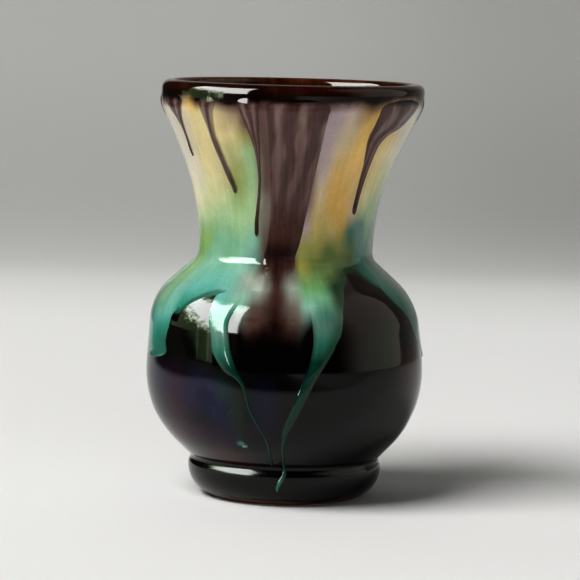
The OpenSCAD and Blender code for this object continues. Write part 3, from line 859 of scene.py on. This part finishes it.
mix.inputs["B"].default_value = (*studio["wall"], 1)
onWall = rangeNode(nodes, links, backwards, 0.5, 0.7, 0, 1)
# Painted shade on the wall, low down and to the right
low = rangeNode(nodes, links, upwards, 0, 0.1, studio["lowDarker"], 0)
right = rangeNode(nodes, links, acrossFloor, -0.02, 0.14, 0, studio["rightDarker"])
shade = mathNode(nodes, links, "MULTIPLY_ADD", onWall, mathNode(nodes, links, "ADD", low, right), 1)
# In the glaze's mirror image the table ends not far from the vase
front = rangeNode(nodes, links, backwards, *studio["tableFront"], 0.05, 1)
left = rangeNode(nodes, links, acrossFloor, *studio["tableLeft"], 0.05, 1)
right = rangeNode(nodes, links, acrossFloor, *studio["tableRight"], 0.05, 0.7)
table = mathNode(nodes, links, "MAXIMUM", mathNode(nodes, links, "MULTIPLY", front, left), right)
mirrored = nodes.new("ShaderNodeLightPath").outputs["Is Glossy Ray"]
ends = mathNode(nodes, links, "MULTIPLY", mathNode(nodes, links, "SUBTRACT", 1, table), mirrored)
shade = mathNode(nodes, links, "MULTIPLY", shade, mathNode(nodes, links, "SUBTRACT", 1, ends))
scaled = nodes.new("ShaderNodeVectorMath")
scaled.operation = "SCALE"
links.new(mix.outputs["Result"], scaled.inputs[0])
links.new(shade, scaled.inputs["Scale"])
links.new(scaled.outputs[0], shader.inputs["Base Color"])
shader.inputs["Roughness"].default_value = 0.9
shader.inputs["Specular IOR Level"].default_value = 0.1
links.new(shader.outputs[0], output.inputs["Surface"])
stagePiece("sweep", bm, material)


def towards(azimuth, height, distance):
    a, h = math.radians(azimuth), math.radians(height)
    return Vector((math.sin(a) * math.cos(h), -math.cos(a) * math.cos(h), math.sin(h))) * distance


def areaLight(name, place, size, power, colour):
    data = bpy.data.lights.new(name, "AREA")
    data.shape = "RECTANGLE"
    data.size, data.size_y = size
    data.energy = power
    data.color = colour
    light = bpy.data.objects.new(name, data)
    light.location = place
    light.rotation_euler = (-place).to_track_quat("-Z", "Y").to_euler()
    light.visible_glossy = False  # the panes below are what the glaze mirrors
    bpy.context.scene.collection.objects.link(light)


for kind in ("window", "room"):
    areaLight(kind + "Light", towards(*studio[kind + "At"]), studio[kind + "Size"],
              studio[kind + "Power"], studio[kind + "Colour"])


def curvedPane(name, fromAzimuth, toAzimuth, low, high, distance):
    # Part of a round wall of window, seen only as a reflection
    bm = bmesh.new()
    count = max(2, int((toAzimuth - fromAzimuth) / 3))
    verts = [bm.verts.new(towards(azimuth, low, distance))
             for azimuth in np.linspace(fromAzimuth, toAzimuth, count + 1)]
    edges = [bm.edges.new(pair) for pair in zip(verts, verts[1:])]
    for height in np.linspace(low, high, 15)[1:]:
        made = bmesh.ops.extrude_edge_only(bm, edges=edges)["geom"]
        verts = [g for g in made if isinstance(g, bmesh.types.BMVert)]
        edges = [g for g in made if isinstance(g, bmesh.types.BMEdge)
                 and all(v in verts for v in g.verts)]
        for v in verts:
            v.co = towards(math.degrees(math.atan2(v.co.x, -v.co.y)), height, distance)
    material, nodes, links = newMaterial(name)
    place = nodes.new("ShaderNodeTexCoord").outputs["Object"]
    parts, view = nodes.new("ShaderNodeSeparateXYZ"), nodes.new("ShaderNodeMix")
    links.new(place, parts.inputs[0])
    # The sky shows between the leaves, more of it high up and in front, none past the top
    upwards = mathNode(nodes, links, "MULTIPLY_ADD", parts.outputs[2], 0.9, -0.2)
    forwards = mathNode(nodes, links, "MULTIPLY_ADD", parts.outputs[1], -0.45, upwards)
    leaves = noiseNode(nodes, links, place, 5, 9, 0.8)
    clear = mathNode(nodes, links, "MULTIPLY_ADD", leaves, 2.8, forwards)
    past = rangeNode(nodes, links, parts.outputs[2], 1.5, 2, 0, 1.6)
    clear = mathNode(nodes, links, "SUBTRACT", clear, past)
    sky = rangeNode(nodes, links, clear, 1.6, 2.2, 0, 1)
    view.data_type = "RGBA"
    view.inputs["A"].default_value = studio["trees"]
    view.inputs["B"].default_value = studio["sky"]
    links.new(sky, view.inputs["Factor"])
    glow, output = nodes.new("ShaderNodeEmission"), nodes.new("ShaderNodeOutputMaterial")
    strength = mathNode(nodes, links, "MULTIPLY_ADD", sky, studio["paneBright"] - studio["paneTrees"],
                        studio["paneTrees"])
    links.new(view.outputs["Result"], glow.inputs["Color"])
    links.new(strength, glow.inputs["Strength"])
    links.new(glow.outputs[0], output.inputs["Surface"])
    pane = stagePiece(name, bm, material)
    pane.visible_camera = pane.visible_diffuse = pane.visible_shadow = False


for name, reach in studio["panes"].items():
    curvedPane(name, *reach)

world = bpy.data.worlds.new("room")
bpy.context.scene.world = world
world.use_nodes = True
nodes, links = world.node_tree.nodes, world.node_tree.links
background = nodes["Background"]
background.inputs["Color"].default_value = studio["roomTint"]
parts, mix = nodes.new("ShaderNodeSeparateXYZ"), nodes.new("ShaderNodeMix")
ray = nodes.new("ShaderNodeLightPath")
links.new(nodes.new("ShaderNodeTexCoord").outputs["Generated"], parts.inputs[0])
onRight = rangeNode(nodes, links, parts.outputs[0], 0.3, 0.65, 0, 1)
sideways = rangeNode(nodes, links, parts.outputs[1], -0.75, -0.3, 0, studio["roomSide"])
sideways = mathNode(nodes, links, "MULTIPLY", onRight, sideways)
links.new(ray.outputs["Is Glossy Ray"], mix.inputs["Factor"])
mix.inputs["A"].default_value = studio["fill"]
links.new(mathNode(nodes, links, "ADD", sideways, studio["roomFront"]), mix.inputs["B"])
links.new(mix.outputs["Result"], background.inputs["Strength"])

camera = {"place": (0, -720, 121.9), "aim": (1.01, 0, 49.65), "focal": 185.77, "roll": 1.39}
data = bpy.data.cameras.new("camera")
data.sensor_width = 36
data.lens = camera["focal"]
data.clip_start, data.clip_end = 0.01, 20
eye = bpy.data.objects.new("camera", data)
eye.location = Vector(camera["place"]) * mm
turn = (Vector(camera["aim"]) * mm - eye.location).to_track_quat("-Z", "Y").to_matrix()
eye.rotation_euler = (turn @ Matrix.Rotation(math.radians(camera["roll"]), 3, "Z")).to_euler()
bpy.context.scene.collection.objects.link(eye)
bpy.context.scene.camera = eye
bpy.context.scene.view_settings.view_transform = "Standard"
bpy.context.scene.view_settings.look = "High Contrast"

low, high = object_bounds()
